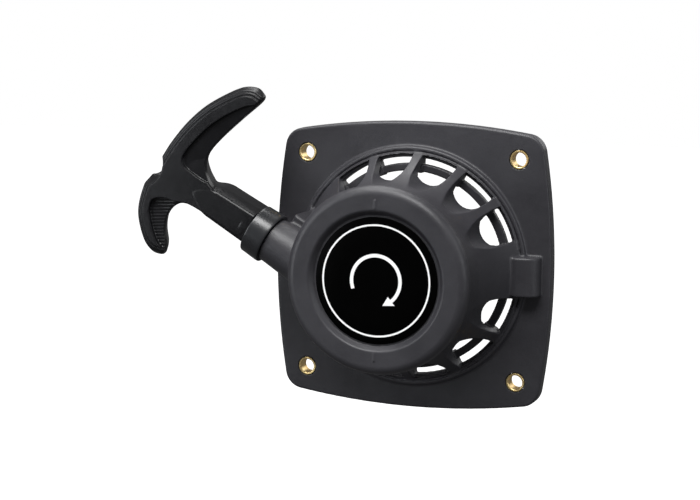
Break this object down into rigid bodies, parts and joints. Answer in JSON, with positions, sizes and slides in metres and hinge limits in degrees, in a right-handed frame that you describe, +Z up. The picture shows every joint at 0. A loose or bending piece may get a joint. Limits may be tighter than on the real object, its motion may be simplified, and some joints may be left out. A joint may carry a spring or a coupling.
{
  "type": "recoil starter",
  "caption": "Pull-rope recoil starter for a small two-stroke engine: vented housing with mounting flange, rope exit, T-shaped pull handle, rope reel, spiral spring and swing-out pawls.",
  "frame": {"origin": "centre of the four-hole bolt pattern, on the mounting face; the crankshaft axis passes through it", "axes": "+Y along the crankshaft axis into the engine, -Y to the front with the badge, +X right seen from the front, +Z up"},
  "size_m": [0.1573, 0.047, 0.1223],
  "materials": {
    "housing_plastic": "charcoal glass-filled nylon, fine moulded grain",
    "collar_plastic": "black moulded plastic, satin",
    "handle_rubber": "near-black moulded grip, satin",
    "badge_gloss": "gloss black disc with a thin white ring",
    "insert_brass": "turned brass",
    "bush_bronze": "sintered bronze",
    "bright_steel": "zinc-plated steel",
    "case_steel": "pressed zinc-plated steel",
    "spring_steel": "oiled spring steel",
    "pawl_steel": "sintered steel",
    "reel_plastic": "natural nylon",
    "rope": "braided polyester"
  },
  "bodies": {
    "starter_housing": {"housing": "housing_plastic", "insert_upper_left": "insert_brass", "insert_upper_right": "insert_brass", "insert_lower_left": "insert_brass", "insert_lower_right": "insert_brass", "post_insert": "insert_brass", "badge": "badge_gloss", "exit_collar": "collar_plastic", "rope_eyelet": "bright_steel", "spring_case": "case_steel", "recoil_spring": "spring_steel", "rope_lead": "rope", "friction_spring": "spring_steel", "friction_washer": "bright_steel", "centre_screw": "bright_steel"},
    "rope_reel": {"reel": "reel_plastic", "reel_bush": "bush_bronze", "rope_coil": "rope", "reel_knot": "rope", "pawl_pin_1": "bright_steel", "pawl_pin_2": "bright_steel", "pawl_spring_1": "spring_steel", "pawl_spring_2": "spring_steel", "pawl_clip_1": "spring_steel", "pawl_clip_2": "spring_steel"},
    "pull_handle": {"handle": "handle_rubber", "handle_knot": "rope", "rope_run": "rope"},
    "first_pawl": {"pawl_1": "pawl_steel"},
    "second_pawl": {"pawl_2": "pawl_steel"},
    "pawl_guide": {"guide_plate": "case_steel"}
  },
  "joints": [
    {"name": "handle_pull", "type": "slide", "parent": "starter_housing", "child": "pull_handle", "axis": [-0.866, 0, 0.5], "range_m": [0, 0.6], "stiffness_N_per_m": 15, "springref_m": -0.8},
    {"name": "reel_turn", "type": "hinge", "parent": "starter_housing", "child": "rope_reel", "pos_m": [0, -0.03, 0], "axis": [0, 1, 0], "range_deg": [0, 1720], "deforming": ["recoil_spring"]},
    {"name": "pawl_1_swing", "type": "hinge", "parent": "rope_reel", "child": "first_pawl", "pos_m": [0, -0.0203, 0.0145], "axis": [0, -1, 0], "range_deg": [0, 38], "stiffness_Nm_per_rad": 0.01, "springref_deg": -28.65},
    {"name": "pawl_2_swing", "type": "hinge", "parent": "rope_reel", "child": "second_pawl", "pos_m": [0, -0.0203, -0.0145], "axis": [0, -1, 0], "range_deg": [0, 38.1]},
    {"name": "guide_turn", "type": "hinge", "parent": "rope_reel", "child": "pawl_guide", "pos_m": [0, -0.0168, 0], "axis": [0, -1, 0], "range_deg": [0, 25.1]}
  ],
  "couplings": [
    {"joint": "reel_turn", "follows": "handle_pull", "rad_per_m": 50},
    {"joint": "pawl_2_swing", "follows": "pawl_1_swing", "ratio": 1},
    {"joint": "guide_turn", "follows": "pawl_1_swing", "ratio": 0.65789}
  ]
}
